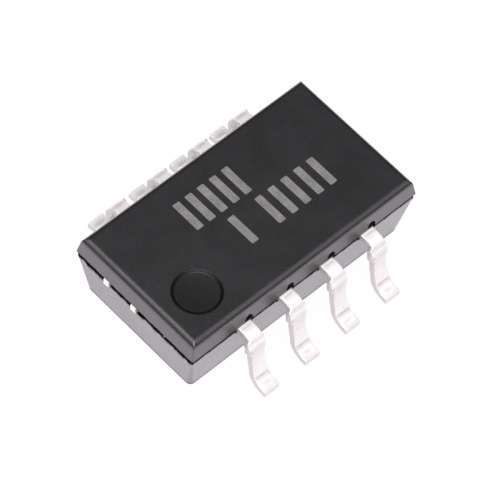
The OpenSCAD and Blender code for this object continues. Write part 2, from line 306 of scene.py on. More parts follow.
class ShaderGroups:
    """Builds each shared node group once."""

    def __init__(self) -> None:
        """Starts with no group built."""
        self.trees: dict[Group, Tree] = {}

    def get(self, group: Group) -> Tree:
        """Gives a group's node tree, built at its first use.

        Args:
            group: The group wanted.

        Returns:
            Its node tree.
        """
        if group not in self.trees:
            self.trees[group] = self._grain() if group is Group.GRAIN else self._wear()
        return self.trees[group]

    @staticmethod
    def _tree(name: str, inputs: dict[str, float], outputs: Sequence[str]) -> Tree:
        """Makes an empty group with its sockets and its end nodes.

        Args:
            name: Name of the group.
            inputs: Input names with default values.
            outputs: Output names.

        Returns:
            The node tree.
        """
        tree = bpy.data.node_groups.new(name, "ShaderNodeTree")
        for key in (*inputs, *outputs):
            way = "INPUT" if key in inputs else "OUTPUT"
            socket = tree.interface.new_socket(name=key, in_out=way, socket_type="NodeSocketFloat")
            socket.default_value = inputs.get(key, 0.0)
        tree.nodes.new("NodeGroupInput").name = "in"
        tree.nodes.new("NodeGroupOutput").name = "out"
        return tree

    @staticmethod
    def _millimetres(tree: Tree) -> Socket:
        """Adds the object's coordinates, turned into millimetres."""
        inputs = {0: add_node(tree, "TexCoord", {}).outputs["Object"], "Scale": 1 / MM}
        return add_node(tree, "VectorMath", inputs, operation="SCALE").outputs["Vector"]

    def _grain(self) -> Tree:
        """Builds fine specks over soft clouds, for moulded, sintered and plated surfaces.

        Returns:
            The group's tree.
        """
        sizes = {"Speck Size": 0.03, "Cloud Size": 0.6, "Speck Share": 0.6}
        tree = self._tree("moulded_grain", sizes, ("Value", "Specks"))
        source = tree.nodes["in"].outputs
        place = self._millimetres(tree)
        specks = patches(tree, place, source["Speck Size"], 3.0, 0.6)
        clouds = patches(tree, place, source["Cloud Size"], 4.0, 0.6)
        value = mixed(tree, source["Speck Share"], clouds, specks)
        feed(tree, tree.nodes["out"], {"Value": value, "Specks": specks})
        return tree

    def _wear(self) -> Tree:
        """Builds the streaks left by trimming, forming and handling.

        Returns:
            The group's tree.
        """
        tree = self._tree("handling_marks", {"Streak Size": 0.08, "Stretch": 6.0}, ("Streaks",))
        source = tree.nodes["in"].outputs
        squeeze = add_node(tree, "CombineXYZ", {"X": source["Stretch"], "Y": 1.0, "Z": 1.0})
        inputs = {0: self._millimetres(tree), 1: squeeze.outputs[0]}
        place = add_node(tree, "VectorMath", inputs, operation="MULTIPLY").outputs["Vector"]
        streaks = patches(tree, place, source["Streak Size"], 5.0, 0.5)
        feed(tree, tree.nodes["out"], {"Streaks": streaks})
        return tree


@dataclass(frozen=True)
class Finish:
    """A surface finish, written as a Principled material over the shared grain.

    Sizes of specks, clouds, streaks and bumps are in millimetres.
    """

    name: str
    dark: Colour
    light: Colour
    metallic: float = 0.0
    rough: Span = (0.4, 0.6)
    speck: float = 0.03
    cloud: float = 0.6
    speck_share: float = 0.6
    bump_height: float = 0.0
    sheen: float = 0.0
    sheen_rough: float = 0.3
    ior: float = 1.45
    transmission: float = 0.0
    streak_size: float = 0.0
    tint: Colour = (1.0, 1.0, 1.0)
    # Colour of the dull places: bare cut metal, broken compound, and painted shade and reflections.
    dull_and_shade_colour: Colour | None = None

    def material(self, groups: ShaderGroups) -> bpy.types.Material:
        """Builds the material.

        Args:
            groups: The shared node groups.

        Returns:
            The material.
        """
        material = bpy.data.materials.new(self.name)
        material.use_nodes = True
        tree = material.node_tree
        shader = tree.nodes["Principled BSDF"]
        tint = (*self.tint, 1.0)
        feed(tree, shader, {
            "Metallic": self.metallic, "IOR": self.ior, "Specular Tint": tint,
            "Sheen Weight": self.sheen, "Sheen Roughness": self.sheen_rough, "Sheen Tint": tint,
            "Transmission Weight": self.transmission,
        })
        sizes = {
            "Speck Size": self.speck, "Cloud Size": self.cloud, "Speck Share": self.speck_share,
        }
        grain = add_node(tree, "Group", sizes, node_tree=groups.get(Group.GRAIN)).outputs
        value = grain["Value"]
        if self.streak_size:
            sizes = {"Streak Size": self.streak_size}
            wear = add_node(tree, "Group", sizes, node_tree=groups.get(Group.WEAR)).outputs
            value = mixed(tree, 0.5, value, wear["Streaks"])
        colour = ramped(tree, value, RAMP_STOPS, (self.dark, self.light))
        if self.dull_and_shade_colour:
            colour = self._dulled_and_shaded(tree, colour, shader)
        rough = ranged(tree, value, self.rough, ROUGH_SPAN)
        feed(tree, shader, {"Base Color": colour, "Roughness": rough})
        if self.bump_height:
            inputs = {"Distance": self.bump_height * MM, "Strength": 1.0, "Height": grain["Specks"]}
            feed(tree, shader, {"Normal": add_node(tree, "Bump", inputs).outputs["Normal"]})
        return material

    def _dulled_and_shaded(self, tree: Tree, colour: Socket, shader: Node) -> Socket:
        """Dulls and darkens a finish where the mesh's dull and shade value is high: at bare and
        broken places, and as painted shade.

        Args:
            tree: The material's tree.
            colour: The finish's own colour.
            shader: The material's shader, whose gloss is dulled too.

        Returns:
            The colour with its dark places, partly painted shade.
        """
        dull_and_painted_shade = add_node(tree, "Attribute", {}, attribute_name="dull_and_painted_shade").outputs["Fac"]
        for name, clean in (("Specular IOR Level", 0.5), ("Sheen Weight", self.sheen)):
            feed(tree, shader, {name: ranged(tree, dull_and_painted_shade, (clean, 0.0))})
        return mixed(tree, dull_and_painted_shade, colour, (*self.dull_and_shade_colour, 1.0), "RGBA")


class Finishes:
    """The chip's finishes and the materials made from them."""

    # Its near-black dull colour marks broken compound, and paints shade in the band's recess, under
    # the lip, in the dimple and along the bottom edge.
    COMPOUND = Finish(
        "mould_compound", (0.0035, 0.0032, 0.0036), (0.0110, 0.0100, 0.0112), rough=(0.25, 0.36),
        speck=0.022, cloud=0.9, bump_height=0.003, sheen=0.3, ior=1.9, tint=(1.0, 0.965, 1.0),
        dull_and_shade_colour=(0.002, 0.002, 0.002),
    )
    # The tan dull colour is the bare metal of the cut sides; on the upper face it paints shade and
    # reflections.
    PLATING = Finish(
        "tin_plating", (0.68, 0.65, 0.645), (0.84, 0.81, 0.805), metallic=0.3,
        rough=(0.24, 0.36), speck=0.12, cloud=0.35, speck_share=0.2, streak_size=0.06,
        dull_and_shade_colour=(0.38, 0.34, 0.315),
    )
    MARK = Finish(
        "laser_mark", (0.09, 0.088, 0.085), (0.19, 0.186, 0.18), rough=(0.7, 0.9),
        cloud=0.25, speck_share=0.5, bump_height=0.002,
    )
    COPPER = Finish(
        "copper_alloy", (0.78, 0.74, 0.70), (0.94, 0.91, 0.88), metallic=0.45,
        rough=(0.25, 0.45), speck=0.02, cloud=0.2, bump_height=0.001, streak_size=0.05,
    )
    ADHESIVE = Finish(
        "silver_adhesive", (0.42, 0.42, 0.40), (0.62, 0.62, 0.59), metallic=0.4,
        rough=(0.5, 0.8), cloud=0.2, bump_height=0.004,
    )
    SILICON = Finish(
        "silicon", (0.06, 0.07, 0.10), (0.12, 0.15, 0.20), metallic=0.3, rough=(0.08, 0.2),
        speck=0.05, cloud=0.3, ior=2.0,
    )
    GOLD = Finish(
        "gold_wire", (0.85, 0.60, 0.22), (0.98, 0.76, 0.36), metallic=1.0, rough=(0.15, 0.3),
        speck=0.01, cloud=0.1,
    )
    SOLDER = Finish(
        "solder", (0.50, 0.51, 0.53), (0.68, 0.69, 0.71), metallic=0.9, rough=(0.3, 0.5),
        cloud=0.15, bump_height=0.002,
    )
    CERAMIC = Finish(
        "ceramic", (0.66, 0.64, 0.57), (0.80, 0.78, 0.71), rough=(0.5, 0.75), speck=0.015,
        cloud=0.3, bump_height=0.001,
    )
    LID = Finish(
        "lid_metal", (0.55, 0.56, 0.58), (0.72, 0.73, 0.75), metallic=1.0, rough=(0.2, 0.35),
        speck=0.02, cloud=0.3, streak_size=0.08,
    )
    SEAL = Finish(
        "seal_metal", (0.72, 0.58, 0.30), (0.88, 0.74, 0.45), metallic=1.0, rough=(0.2, 0.35),
        speck=0.02, cloud=0.2,
    )
    QUARTZ = Finish(
        "quartz", (0.86, 0.90, 0.93), (0.94, 0.96, 0.98), rough=(0.03, 0.12), speck=0.02,
        cloud=0.4, ior=1.54, transmission=0.9,
    )

    def __init__(self, groups: ShaderGroups) -> None:
        """Keeps the shared groups and starts with no material built."""
        self.groups = groups
        self.made: dict[str, bpy.types.Material] = {}

    def material(self, finish: Finish) -> bpy.types.Material:
        """Gives a finish's material, built at its first use.

        Args:
            finish: The finish wanted.

        Returns:
            Its material.
        """
        if finish.name not in self.made:
            self.made[finish.name] = finish.material(self.groups)
        return self.made[finish.name]

    def dress(self, obj: Object, finish: Finish) -> None:
        """Gives a whole object one finish."""
        obj.data.materials.clear()
        obj.data.materials.append(self.material(finish))


# ---- Moulded body ----

@dataclass(frozen=True)
class BandRow:
    """An outline of the rough band, by shares of the band's height and depth, and its darkening:
    broken compound and painted shade in the recess.
    """

    drop: float
    depth: float
    darkening: float


# The band's darkening, which also takes away its gloss, is broken compound and painted shade in the
# recess under the overhang.
BAND_ROWS: tuple[BandRow, ...] = (
    BandRow(1.6, 0.0, 0.0),
    BandRow(1.3, 0.0, 0.85),
    BandRow(1.0, 0.06, 1.0),
    BandRow(0.93, 0.5, 1.0),
    BandRow(0.8, 0.97, 1.0),
    BandRow(0.4, 1.06, 1.0),
    BandRow(0.05, 1.0, 1.0),
)


@dataclass(frozen=True)
class Half:
    """The drafted wall of a half, up to its rounded edge.

    Its draft is in degrees. A hold is how far before the edge the wall gets one more row
    of points, which keeps its shading flat.
    """

    height: float
    draft: float
    edge_r: float
    holds: Span
    wall_steps: int = 8
    edge_steps: int = 8

    def profile(self) -> list[Span]:
        """Gives the wall and the edge.

        Returns:
            Pairs of inset and height, from the parting line outwards.
        """
        slope = radians(self.draft)
        flat_h = self.height - self.edge_r
        centre = flat_h * tan(slope) + self.edge_r / cos(slope)
        wall_h = flat_h + self.edge_r * sin(slope)
        levels = [wall_h * i / self.wall_steps for i in range(self.wall_steps)]
        levels += [wall_h - hold for hold in self.holds]
        profile = [(level * tan(slope), level) for level in levels]
        for i in range(self.edge_steps + 1):
            a = slope + (pi / 2 - slope) * i / self.edge_steps
            inset = centre - self.edge_r * cos(a)
            profile.append((inset, flat_h + self.edge_r * sin(a)))
        return profile


@dataclass
class MouldBody:
    """The moulded body: two drafted halves, the rough band between them and the dimple.

    Darkenings are shares from 0 to 1: scuffs and broken compound, and painted shade in the recesses
    and along the bottom edge. The lower half starts under the band of the long sides.
    """

    length: float = 6.94
    width: float = 3.9
    upper: Half = Half(0.51, 10.0, 0.17, (0.045, 0.02))
    lower: Half = Half(1.435, 7.5, 0.06, (0.1, 0.065))
    standoff: float = 0.1
    corner_r: float = 0.02
    low_corner_r: float = 0.14
    overhang: float = 0.02
    band_depth: float = 0.05
    side_band_h: float = 0.105
    end_band_h: float = 0.18
    lip: float = 0.012
    band_blend: float = 0.12
    band_jag: Span = (0.02, 0.055)
    band_jag_size: float = 0.13
    break_depth: float = 0.006
    break_size: float = 0.09
    notch_h: float = 0.08
    notch_y: float = -0.15
    notch_half: float = 0.05
    scuff_size: float = 0.5
    scuff_stain: float = 0.6
    lip_size: float = 0.14
    lip_in: float = 0.012
    # The lip under the upper half's edge is darkened: thin broken compound, and painted shade under
    # the overhang.
    lip_flash_and_shade: Span = (0.9, 0.55)
    top_hold: float = 0.015
    dimple_d: float = 1.15
    dimple_depth: float = 0.05
    dimple_at: Span = (-2.36, -0.85)
    dimple_rim_r: float = 0.028
    dimple_toe_r: float = 0.04
    dimple_toe_stretch: float = 1.3
    dimple_wall_in: float = 0.01
    dimple_hold: float = 0.012
    # Painted shade in the dimple: the floor and rim are darkened a little, the wall much more,
    # which also hides their highlights.
    dimple_dull_and_shade: float = 0.35
    dimple_wall_painted_shade: float = 0.77
    dimple_steps: int = 112
    # Painted shade along the bottom edge, where the body sits on the sheet.
    bottom_painted_shade: float = 0.8
    pitch: float = 1.27
    frame_t: float = 0.18
    lead_w: float = 0.38
    pocket: float = 0.07
    chip: float = 0.19
    ledge: float = 0.03
    side_step: float = 0.035
    corner_steps: int = 6
    lower_h: float = field(init=False)
    parting_z: float = field(init=False)
    top_z: float = field(init=False)

    def __post_init__(self) -> None:
        """Works out the levels of the parting line and of the top."""
        self.lower_h = self.lower.height + self.side_band_h
        self.parting_z = self.standoff + self.lower_h
        self.top_z = self.parting_z + self.upper.height

    def _ring(self, inset: float, z: float) -> list[Vector]:
        """Gives one closed outline of the body; its corners grow rounder towards the bottom.

        Args:
            inset: Distance inside the body's outline at the parting line.
            z: Level of the outline.

        Returns:
            Points from the +X end anticlockwise, the same number for each outline.
        """
        fall = min(max((self.parting_z - z) / self.lower_h, 0.0), 1.0)
        corner = self.corner_r + fall * (self.low_corner_r - self.corner_r)
        half_l, half_w = self.length / 2 - inset, self.width / 2 - inset
        flat_l, flat_w = half_l - corner, half_w - corner
        steps_l = round(self.length / self.side_step)
        steps_w = round(self.width / self.side_step)
        points: list[Vector] = []
        sides = (
            ((half_l, -flat_w), (half_l, flat_w), steps_w, (flat_l, flat_w)),
            ((flat_l, half_w), (-flat_l, half_w), steps_l, (-flat_l, flat_w)),
            ((-half_l, flat_w), (-half_l, -flat_w), steps_w, (-flat_l, -flat_w)),
            ((-flat_l, -half_w), (flat_l, -half_w), steps_l, (flat_l, -flat_w)),
        )
        for turn, (start, end, steps, (cx, cy)) in enumerate(sides):
            for i in range(steps + 1):
                p = Vector(start).lerp(Vector(end), i / steps)
                points.append(Vector((p.x, p.y, z)))
            for i in range(1, self.corner_steps):
                a = pi / 2 * (turn + i / self.corner_steps)
                points.append(Vector((cx + corner * cos(a), cy + corner * sin(a), z)))
        return points

    def _roughness(self, p: Vector, size: float) -> float:
        """Noise of the broken compound at a point, between about -1 and 1."""
        return noise.fractal(Vector((p.x / size, p.y / size, p.z / size)), 0.7, 2.0, 4)

    def _end_share(self, p: Vector) -> float:
        """Tells the share, from 0 to 1, to which a point lies on an end and not on a side."""
        gap = (self.width / 2 - abs(p.y)) - (self.length / 2 - abs(p.x))
        return min(max(0.5 + gap / self.band_blend, 0.0), 1.0)

    def _band_height(self, p: Vector) -> float:
        """Gives the height of the rough band: it is taller and more broken on the ends.

        Args:
            p: A point of the outline.

        Returns:
            The height there.
        """
        share = self._end_share(p)
        height = self.side_band_h + share * (self.end_band_h - self.side_band_h)
        jag = self.band_jag[0] + share * (self.band_jag[1] - self.band_jag[0])
        notch = 0.0
        if p.x < 0:
            along = (p.y - self.notch_y) / self.notch_half
            notch = self.notch_h * share * exp(-along * along)
        flat = Vector((p.x, p.y, 0))
        return height + notch + jag * self._roughness(flat, self.band_jag_size)

    def _lip_drop(self, p: Vector) -> float:
        """Gives how far thin flash hangs below the upper half's edge at a point."""
        return self.lip * (0.4 + self._roughness(Vector((p.x, p.y, 3.0)), self.lip_size))

    def _band_ring(self, row: BandRow) -> list[Vector]:
        """Gives one outline of the rough band.

        Args:
            row: The outline's place in the band.

        Returns:
            The points.
        """
        slope = tan(radians(self.lower.draft))
        ring = []
        for p in self._ring(self.overhang + self.band_depth * row.depth, self.parting_z):
            height = self._band_height(p)
            inward = max(0.0, height * row.drop - self.side_band_h) * slope
            if row.depth:
                broken = self._roughness(Vector((p.x, p.y, row.drop)), self.break_size)
                inward += self.break_depth * broken
            push = 1 - inward / Vector((p.x, p.y)).length
            ring.append(Vector((p.x * push, p.y * push, self.parting_z - height * row.drop)))
        return ring

    def _scuffs(self, ring: list[Vector]) -> list[float]:
        """Gives the stains of the scuffs under the band, which are on the ends only.

        Args:
            ring: The outline below the band.

        Returns:
            A stain for each point.
        """
        return [
            self._end_share(p)
            * min(max(1.4 * self._roughness(p, self.scuff_size), 0.0), self.scuff_stain)
            for p in ring
        ]

    def _rings(self) -> tuple[list[list[Vector]], list[list[float]]]:
        """Gives the outlines from the bottom face to the top face.

        Returns:
            The outlines, and the darkenings of their points, which are partly painted shade.
        """
        rings: list[list[Vector]] = []
        darkenings: list[list[float]] = []

        def add(ring: list[Vector], darkening: float) -> None:
            """Keeps an outline whose points all have one darkening."""
            rings.append(ring)
            darkenings.append([darkening] * len(ring))

        lower = self.lower.profile()
        band_foot = self.parting_z - self.side_band_h
        for i in range(len(lower) - 1, 0, -1):
            inset, h = lower[i]
            # The bottom rounding gets painted shade.
            darkening = self.bottom_painted_shade if i > self.lower.wall_steps else 0.0
            add(self._ring(self.overhang + inset, band_foot - h), darkening)
        for row in BAND_ROWS:
            add(self._band_ring(row), row.darkening)
            if row is BAND_ROWS[0]:
                darkenings[-1] = self._scuffs(rings[-1])
        # The lip is darkened: thin broken compound, and painted shade under the overhang.
        for inset, darkening in zip((self.lip_in, 0.0), self.lip_flash_and_shade):
            lipped = self._ring(inset, self.parting_z)
            add([Vector((p.x, p.y, p.z - self._lip_drop(p))) for p in lipped], darkening)
        upper = self.upper.profile()
        upper.append((upper[-1][0] + self.top_hold, upper[-1][1]))
        for inset, h in upper[1:]:
            add(self._ring(inset, self.parting_z + h), 0.0)
        return rings, darkenings

    def _dimple(self, bm: Mesh, layer: bmesh.types.BMLayerItem) -> list[Vert]:
        """Adds the dimple's wall and its floor, which is duller than the top; both are darkened as
        painted shade, the wall most.

        Args:
            bm: The body's mesh.
            layer: The layer of the flash values.

        Returns:
            The rim's vertices.
        """
        radius, rim, toe = self.dimple_d / 2, self.dimple_rim_r, self.dimple_toe_r
        cx, cy = self.dimple_at
        profile = [(radius + rim + self.dimple_hold, 0.0), (radius + rim, 0.0)]
        for a in map(radians, (17, 34, 51, 68)):
            profile.append((radius + rim * (1 - sin(a)), rim * (1 - cos(a))))
        for a in map(radians, (72, 54, 36, 18, 0)):
            inward = self.dimple_wall_in + toe * (1 - sin(a)) * self.dimple_toe_stretch
            profile.append((radius - inward, self.dimple_depth - toe * (1 - cos(a))))
        turns = [2 * pi * i / self.dimple_steps for i in range(self.dimple_steps)]
        rows = loft(bm, [
            [Vector((cx + r * cos(a), cy + r * sin(a), self.top_z - h)) for a in turns]
            for r, h in profile
        ])
        bm.faces.new(rows[-1])
        # Painted shade: the rim and the floor darken a little, the wall a lot.
        for row in rows[1:]:
            darkening = self.dimple_dull_and_shade if row in (rows[1], rows[-1]) else self.dimple_wall_painted_shade
            for vert in row:
                vert[layer] = darkening
        return rows[0]

    def _pockets(self) -> Object:
        """Builds the cutter of the pockets beside the roots and the broken corners above.

        Returns:
            The cutter.
        """
        bm = bmesh.new()
        depth = self.overhang + self.band_depth + self.pocket / 2
        half = self.lead_w / 2 + self.pocket
        side = self.lead_w / 2 + 0.004
        base, top = self.parting_z - self.frame_t - self.pocket / 2, self.parting_z
        outline = (
            (-half, base), (half, base), (half + 0.01, top + 0.5 * self.chip),
            (half - 0.03, top + 0.85 * self.chip), (half - 0.09, top + self.chip),
            (0.09, top + 0.9 * self.chip), (0.04, top + 0.5 * self.chip),
            (0.03, top + self.ledge), (side, top + self.ledge), (side, top),
            (-half + 0.01, top + 0.01),
        )
        for i in range(LEADS_IN_ROW):
            for row in (-1, 1):
                x = row * (i - MID_LEAD) * -self.pitch
                rings = [
                    [Vector((x - row * a, row * y, z)) for a, z in outline]
                    for y in (self.width / 2 + depth, self.width / 2 - depth)
                ]
                for end in loft(bm, rings):
                    bm.faces.new(end)
        return mesh_object("pocket_cutter", bm, smooth=False)

    def build(self) -> Object:
        """Builds the body.

        Returns:
            The mesh object, named moulded_body.
        """
        bm = bmesh.new()
        # Darkening of each point: scuffs, broken compound and painted shade.
        layer = bm.verts.layers.float.new("dull_and_painted_shade")
        rings, darkenings = self._rings()
        rows = loft(bm, rings)
        for row, values in zip(rows, darkenings):
            for vert, value in zip(row, values):
                vert[layer] = value
        bm.faces.new(rows[0])
        rim = self._dimple(bm, layer)
        fill_between(bm, (rows[-1], rim))
        sharpen(bm, SHARP_ANGLES["body"])
        obj = mesh_object("moulded_body", bm)
        cutter = self._pockets()
        cut = obj.modifiers.new("pockets", "BOOLEAN")
        cut.object = cutter
        cut.solver = "EXACT"
        apply_modifiers(obj)
        bpy.data.objects.remove(cutter)
        weld(obj, 0.0005)
        weight_normals(obj)
        return obj


# ---- Leads ----

@dataclass(frozen=True)
class Station:
    """A place along a lead's top face.

    It has a distance out, a level, a slope down in degrees and the run from the finger.
    """

    out: float
    z: float
    slope: float
    run: float


@dataclass(frozen=True)
class ToolMarkAndShade:
    """A dark mark on a lead's upper face: a few are forming-tool marks, most are painted shade and
    painted reflections.

    It has a place and a reach along the run, a centre and a half width as shares of the lead's half
    width, and a darkening.
    """

    place: float
    reach: float
    centre: float
    half: float
    darkening: float

    def at(self, run: float, across: float) -> float:
        """Gives the mark's stain at a run, and at a share of the lead's half width."""
        along, aside = (run - self.place) / self.reach, (across - self.centre) / self.half
        return self.darkening * exp(-along * along) * exp(-(aside**4))


@dataclass
class Lead:
    """One gull-wing lead: finger, shoulder, bends, swept leg, crease and foot."""

    number: int
    body: MouldBody
    shoulder_l: float = 0.15
    bend_r: float = 0.18
    leg_lean: float = 4.0
    sweep_r: float = 2.0
    sweep_turn: float = 20.0
    crease_r: float = 0.01
    crease_turn: float = 10.0
    heel_r: float = 0.4
    foot_l: float = 0.03
    foot_spread: float = 0.03
    dam_first: float = 0.08
    dam_second: float = 0.03
    dam_l: float = 0.2
    finger_reach: float = 1.2
    head_depth: float = 0.3
    head_half: float = 0.34
    head_hook: float = 0.72
    head_ear: float = 0.05
    edge: float = 0.022
    cut_stain: float = 0.42
    face_points: int = 7
    round_steps: int = 4
    runs: dict[str, float] = field(init=False, default_factory=dict)

    def _path(self) -> list[Station]:
        """Follows the top face of the strip from the finger to the toe.

        A stretch with a turn is an arc whose size is its radius, and the turn is in degrees.

        Returns:
            The stations; the run at which each stretch ends is kept.
        """
        t = self.body.frame_t
        leg = 90 - self.leg_lean
        crease = leg - self.sweep_turn
        heel = crease - self.crease_turn

        def fall(r: float, a: float, b: float) -> float:
            """Gives how far an arc of radius r falls from slope a to slope b."""
            return r * (cos(radians(b)) - cos(radians(a)))

        bend_fall = (self.bend_r + t) * (1 - cos(radians(leg)))
        lower = fall(self.sweep_r, leg, crease) + fall(self.crease_r, crease, heel)
        lower += fall(self.heel_r, heel, 0) + t
        leg_l = (self.body.parting_z - bend_fall - lower) / sin(radians(leg))
        half = self.body.width / 2
        neck = half - self.finger_reach - self.head_depth
        out, z, slope, run = half - neck, self.body.parting_z, 0.0, 0.0

        stretches = (
            ("neck", neck, 0.0, 4),
            ("shoulder", self.shoulder_l, 0.0, 12),
            ("bend", self.bend_r + t, leg, 22),
            ("leg", leg_l, 0.0, 12),
            ("sweep", self.sweep_r, -self.sweep_turn, 18),
            ("crease", self.crease_r, -self.crease_turn, 3),
            ("heel", self.heel_r, -heel, 32),
            ("foot", self.foot_l, 0.0, 3),
        )
        stations = [Station(out, z, slope, run)]
        for name, size, angle, steps in stretches:
            for _ in range(steps):
                a, b = radians(slope), radians(slope + angle / steps)
                if angle:
                    radius = copysign(size, angle)
                    out += radius * (sin(b) - sin(a))
                    z -= radius * (cos(a) - cos(b))
                    run += abs(radius * (b - a))
                else:
                    out += size / steps * cos(a)
                    z -= size / steps * sin(a)
                    run += size / steps
                slope += angle / steps
                stations.append(Station(out, z, slope, run))
            self.runs[name] = run
        return stations

    @staticmethod
    def _ease(value: float, low: float, high: float) -> float:
        """Rises smoothly from 0, where the value is low, to 1, where it is high."""
        share = min(max((value - low) / (high - low), 0.0), 1.0)
        return share * share * (3 - 2 * share)

    def _sides(self, station: Station) -> Span:
        """Gives the half widths to both sides of a lead.

        Args:
            station: Place along the lead.

        Returns:
            The half width on the dam's larger side and on the other one.
        """
        run = station.run
        half = self.body.lead_w / 2
        mid_bend = self.runs["bend"] - radians(45) * (self.bend_r + self.body.frame_t)
        dam_end = self.runs["bend"] + self.dam_l
        dam = self._ease(run, mid_bend - 0.02, mid_bend + 0.05)
        dam *= 1 - self._ease(run, dam_end - 0.05, dam_end + 0.03)
        foot = self._ease(run, self.runs["sweep"] - 0.25, self.runs["sweep"] + 0.02)
        rough = 0.15 * noise.noise(Vector((run * 14, self.number * 3.7, 0)))
        first = half + dam * self.dam_first * (1 + rough) + foot * self.foot_spread
        second = half + dam * self.dam_second * (1 - rough) + foot * self.foot_spread
        return first, second

    def _section(self, station: Station) -> list[Vector]:
        """Gives the rounded section of the strip.

        Args:
            station: Place along the lead.

        Returns:
            Its points, with those of the upper face first.
        """
        first, second = self._sides(station)
        t = self.body.frame_t
        sole_edge = self.edge * 0.7
        corners = (
            (second - self.edge, -self.edge, self.edge, 0),
            (-(first - self.edge), -self.edge, self.edge, 90),
            (-(first - sole_edge), -(t - sole_edge), sole_edge, 180),
            (second - sole_edge, -(t - sole_edge), sole_edge, 270),
        )
        slope = radians(station.slope)
        down = Vector((0, sin(slope), cos(slope)))
        points = []
        for cx, cn, r, start in corners:
            for i in range(self.round_steps + 1):
                a = radians(start + 90 * i / self.round_steps)
                x = cx + r * cos(a)
                n = cn + r * sin(a)
                points.append(Vector((x, station.out, station.z)) + down * n)
            if start == 0:
                last = points[-1]
                for i in range(1, self.face_points + 1):
                    share = i / (self.face_points + 1)
                    shift = share * (first + second - 2 * self.edge)
                    points.append(Vector((last.x - shift, last.y, last.z)))
        return points

    def _cut_shares(self) -> list[float]:
        """Tells how bare each point of a section is: the cut sides are the barest."""
        out = (1.0, 0.75, 0.25, 0.0, 0.0)
        return [*out, *[0.0] * self.face_points, *out[::-1], *out, *out[::-1]]

    def _tool_marks_and_shade(self) -> list[ToolMarkAndShade]:
        """Lists the tool marks and the painted shade and reflections on the lead, from the shoulder
        to the foot.

        Returns:
            The marks and painted shade; the far row has two more.
        """
        neck, bend, sweep, end = (self.runs[key] for key in ("neck", "bend", "sweep", "foot"))
        marks = [
            # Painted reflection of the body across the shoulder.
            ToolMarkAndShade(neck + 0.6 * self.shoulder_l, 0.016, 0.0, 0.75, 0.6),
            # Painted reflection on the upright leg below the bend.
            ToolMarkAndShade(bend + 0.1, 0.16, 0.1, 0.9, 0.2),
            # Painted shadow in the notch of the dam stub.
            ToolMarkAndShade(bend + 0.06, 0.045, -1.2, 0.25, 0.8),
            # Painted shade in the crease after the sweep.
            ToolMarkAndShade(sweep + 0.02, 0.02, 0.0, 1.1, 0.6),
            ToolMarkAndShade(end - 0.18, 0.045, 0.0, 0.6, 0.4),
        ]
        if self.number > LEADS_IN_ROW:
            # The far row's two marks are painted shade that only the far leads get.
            marks.append(ToolMarkAndShade(bend - 0.33, 0.13, 0.0, 0.85, 0.5))
            marks.append(ToolMarkAndShade(end - 0.2, 0.12, 0.0, 0.8, 0.45))
        return marks

    def _head(self, bm: Mesh) -> None:
        """Adds the head of the finger, turned towards the die.

        Args:
            bm: The lead's mesh.
        """
        i = (self.number - 1) % LEADS_IN_ROW
        outer = i in (0, 3)
        x_in = self.head_hook if outer else self.head_half
        x_out = self.body.lead_w / 2 + self.head_ear if outer else self.head_half
        left, right = (x_out, x_in) if i < 2 else (x_in, x_out)
        t = self.body.frame_t
        middle = self.finger_reach + self.head_depth / 2
        centre = Vector(((right - left) / 2, middle, self.body.parting_z - t / 2))
        size = Matrix.Diagonal((left + right, self.head_depth, t * 0.98, 1.0))
        matrix = Matrix.Translation(centre) @ size
        cube = bmesh.ops.create_cube(bm, size=1.0, matrix=matrix)
        edges = list({e for v in cube["verts"] for e in v.link_edges})
        bmesh.ops.bevel(bm, geom=edges, offset=0.012, segments=2, affect="EDGES")

    def build(self) -> Object:
        """Builds the lead in its place.

        Returns:
            The mesh object.
        """
        bm = bmesh.new()
        # Darkening of each point: bare cut sides, tool marks and painted shade.
        layer = bm.verts.layers.float.new("dull_and_painted_shade")
        path = self._path()
        rows = loft(bm, [self._section(s) for s in path])
        marks = self._tool_marks_and_shade()
        upper_points = self.face_points + 2 * (self.round_steps + 1)
        for station, row in zip(path, rows):
            for k, (vert, share) in enumerate(zip(row, self._cut_shares())):
                vert[layer] = share * self.cut_stain
                if k < upper_points:
                    across = vert.co.x / (self.body.lead_w / 2)
                    # Tool marks and painted shade darken the upper face.
                    mark_shade = max(mark.at(station.run, across) for mark in marks)
                    vert[layer] = max(vert[layer], mark_shade)
        bm.faces.new(rows[0])
        bm.faces.new(rows[-1])
        self._head(bm)
        x = ((self.number - 1) % LEADS_IN_ROW - MID_LEAD) * self.body.pitch
        place = Matrix.Translation((x, 0, 0)) @ Matrix.Diagonal((1, -1, 1, 1))
        bmesh.ops.transform(bm, verts=bm.verts, matrix=place)
        if self.number > LEADS_IN_ROW:
            bmesh.ops.rotate(bm, verts=bm.verts, matrix=Matrix.Rotation(pi, 3, "Z"))
        sharpen(bm, SHARP_ANGLES["lead"])
        obj = mesh_object(f"formed_lead_{self.number}", bm)
        weight_normals(obj)
        return obj


# ---- Marking ----

@dataclass(frozen=True)
class BarRow:
    """A row of bars: its place across the top, the first bar, their number and pitch."""

    y: float
    first_x: float
    count: int
    pitch: float


